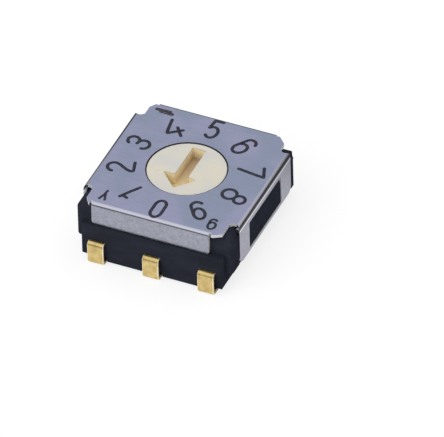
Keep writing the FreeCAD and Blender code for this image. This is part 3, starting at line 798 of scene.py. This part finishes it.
# Painted shade on the neck's side in the gap.
painted_gap_shade = add(tree, "ShaderNodeMapRange", {
    "Value": from_axis.outputs["Value"], "From Min": GAP_FROM, "From Max": GAP_FULL,
})
rotor_tone = add(tree, "ShaderNodeMix", {
    0: painted_gap_shade.outputs["Result"], 6: face_and_slot_shade.outputs[2], 7: linear("#4C4A4A"),
}, data_type="RGBA")
pores = add(tree, "ShaderNodeTexNoise", {
    "Vector": place, "Scale": per_mm(CREAM_PORE), "Detail": 3.0,
})
relief = add(tree, "ShaderNodeBump", {
    "Height": pores.outputs["Fac"], "Strength": 0.15, "Distance": PORE_DEPTH,
})
skin = add(tree, "ShaderNodeBsdfPrincipled", {
    "Base Color": rotor_tone.outputs[2], "Roughness": 0.48, "Specular IOR Level": 0.35,
    "Normal": relief.outputs[0],
})
add(tree, "ShaderNodeOutputMaterial", {"Surface": skin.outputs[0]})

# The rotor's rim is let out to narrow the gap round it. Its slot is set to the left, and
# the left barb of the arrow is the longer one.
RIM_INSIDE = 1.60 * MM
RIM_DEPTH = 0.06 * MM
CHAMFER_BELOW = 0.02 * MM
CHAMFER_LEVEL = 0.015 * MM
SLOT_SLACK = 0.01 * MM
SLOT_LEFT = 0.04 * MM
BARB_FROM = -0.6 * MM
BARB_LEFT = 0.10 * MM
BARB_BACK = 0.05 * MM
rotor = finished_copy("rotor", "slotted_rotor", "turning_rotor", ROTOR_EDGE)
rotor.data.materials.append(cream)
for point in rotor.data.vertices:
    off_axis = math.hypot(point.co.x, point.co.y)
    if off_axis > RIM_INSIDE and point.co.z > ROTOR_FACE - RIM_DEPTH:
        point.co.x *= RIM_RADIUS / NECK_RADIUS
        point.co.y *= RIM_RADIUS / NECK_RADIUS
        if point.co.z < ROTOR_FACE - CHAMFER_BELOW:
            point.co.z = ROTOR_FACE - CHAMFER_LEVEL
    elif off_axis < SLOT_REACH and point.co.z > SLOT_FLOOR - SLOT_SLACK:
        if point.co.x < BARB_FROM:
            point.co.x -= BARB_LEFT
            point.co.y += BARB_BACK
        point.co.x -= SLOT_LEFT

# Leads and code disc: copper alloy strip, stamped, bent and gold plated. The plating is
# satin, its tone varying a little at random. On the leads' broken edges it is rougher,
# and its paler colour there is a painted highlight.
LEAD_EDGE = 0.045 * MM
PLATING_WAVE = 0.3
STRIP_GRAIN = 0.03
STRIP_STRETCH = (1.0, 0.1, 0.1)
STRIP_DEPTH = 0.002 * MM
golds = []
for name, deep_gold, pale_gold, smooth, rough in (
    ("satin_gold_plating", "#C8AF72", "#E4CC8C", 0.34, 0.44),
    # The edge's pale colour is a painted highlight.
    ("gold_edge_painted_highlight", "#F4E4B4", "#FFF8E2", 0.50, 0.60),
):
    gold = bpy.data.materials.new(name)
    gold.use_nodes = True
    tree = gold.node_tree
    tree.nodes.clear()
    place = add(tree, "ShaderNodeTexCoord").outputs["Object"]
    wave = add(tree, "ShaderNodeTexNoise", {
        "Vector": place, "Scale": per_mm(PLATING_WAVE), "Detail": 4.0, "Roughness": 0.6,
    })
    wave_step = add(tree, "ShaderNodeMapRange", {
        "Value": wave.outputs["Fac"], "From Min": 0.35, "From Max": 0.65,
    })
    gold_tone = add(tree, "ShaderNodeMix", {
        0: wave_step.outputs["Result"], 6: linear(deep_gold), 7: linear(pale_gold),
    }, data_type="RGBA")
    lines = add(tree, "ShaderNodeMapping", {"Vector": place, "Scale": STRIP_STRETCH})
    grain = add(tree, "ShaderNodeTexNoise", {
        "Vector": lines.outputs[0], "Scale": per_mm(STRIP_GRAIN), "Detail": 3.0,
    })
    satin = add(tree, "ShaderNodeMapRange", {
        "Value": grain.outputs["Fac"], "From Min": 0.3, "From Max": 0.7,
        "To Min": smooth, "To Max": rough,
    })
    relief = add(tree, "ShaderNodeBump", {
        "Height": grain.outputs["Fac"], "Strength": 0.25, "Distance": STRIP_DEPTH,
    })
    skin = add(tree, "ShaderNodeBsdfPrincipled", {
        "Base Color": gold_tone.outputs[2], "Metallic": 1.0, "Roughness": satin.outputs["Result"],
        "Normal": relief.outputs[0],
    })
    add(tree, "ShaderNodeOutputMaterial", {"Surface": skin.outputs[0]})
    golds.append(gold)
LEADS = {
    "lead_bit_1": "stamped_lead_front_left", "lead_common_front": "stamped_lead_front_middle",
    "lead_bit_8": "stamped_lead_front_right", "lead_bit_2": "stamped_lead_rear_left",
    "lead_common_rear": "stamped_lead_rear_middle", "lead_bit_4": "stamped_lead_rear_right",
}
for node, name in LEADS.items():
    lead = finished_copy(node, name, "case", LEAD_EDGE, edge_slot=1)
    for gold in golds:
        lead.data.materials.append(gold)
disc = finished_copy("code_disc", "stamped_code_disc", "turning_rotor", 0.0)
disc.data.materials.append(golds[0])

# Click spring: hardened stainless leaf, rolled bright and bent to a U round the wheel.
# It lies on four corner pads of the base, and its two bumps sit in the wheel's notches.
LEAF_GRAIN = 0.04
LEAF_STRETCH = (0.1, 0.1, 1.0)
LEAF_DEPTH = 0.002 * MM
spring_steel = bpy.data.materials.new("bright_spring_steel")
spring_steel.use_nodes = True
tree = spring_steel.node_tree
tree.nodes.clear()
place = add(tree, "ShaderNodeTexCoord").outputs["Object"]
lines = add(tree, "ShaderNodeMapping", {"Vector": place, "Scale": LEAF_STRETCH})
grain = add(tree, "ShaderNodeTexNoise", {
    "Vector": lines.outputs[0], "Scale": per_mm(LEAF_GRAIN), "Detail": 3.0,
})
leaf_tone = add(tree, "ShaderNodeMix", {
    0: grain.outputs["Fac"], 6: linear("#A9AAAE"), 7: linear("#CFD0D4"),
}, data_type="RGBA")
relief = add(tree, "ShaderNodeBump", {
    "Height": grain.outputs["Fac"], "Strength": 0.2, "Distance": LEAF_DEPTH,
})
skin = add(tree, "ShaderNodeBsdfPrincipled", {
    "Base Color": leaf_tone.outputs[2], "Metallic": 1.0, "Roughness": 0.25,
    "Normal": relief.outputs[0],
})
add(tree, "ShaderNodeOutputMaterial", {"Surface": skin.outputs[0]})
spring = finished_copy("detent_spring", "click_spring", "case", 0.0)
spring.data.materials.append(spring_steel)

# Seal ring: moulded nitrile rubber, smooth and a little dusty with release powder.
# It sits round the rotor's neck and turns with it.
POWDER_SPOT = 0.15
POWDER_DEPTH = 0.003 * MM
rubber = bpy.data.materials.new("moulded_nitrile_rubber")
rubber.use_nodes = True
tree = rubber.node_tree
tree.nodes.clear()
place = add(tree, "ShaderNodeTexCoord").outputs["Object"]
dust = add(tree, "ShaderNodeTexNoise", {
    "Vector": place, "Scale": per_mm(POWDER_SPOT), "Detail": 5.0, "Roughness": 0.7,
})
rubber_tone = add(tree, "ShaderNodeMix", {
    0: dust.outputs["Fac"], 6: linear("#17171A"), 7: linear("#2E2E31"),
}, data_type="RGBA")
relief = add(tree, "ShaderNodeBump", {
    "Height": dust.outputs["Fac"], "Strength": 0.2, "Distance": POWDER_DEPTH,
})
skin = add(tree, "ShaderNodeBsdfPrincipled", {
    "Base Color": rubber_tone.outputs[2], "Roughness": 0.55, "Specular IOR Level": 0.4,
    "Normal": relief.outputs[0],
})
add(tree, "ShaderNodeOutputMaterial", {"Surface": skin.outputs[0]})
seal = finished_copy("o_ring", "seal_ring", "turning_rotor", 0.0)
seal.data.materials.append(rubber)
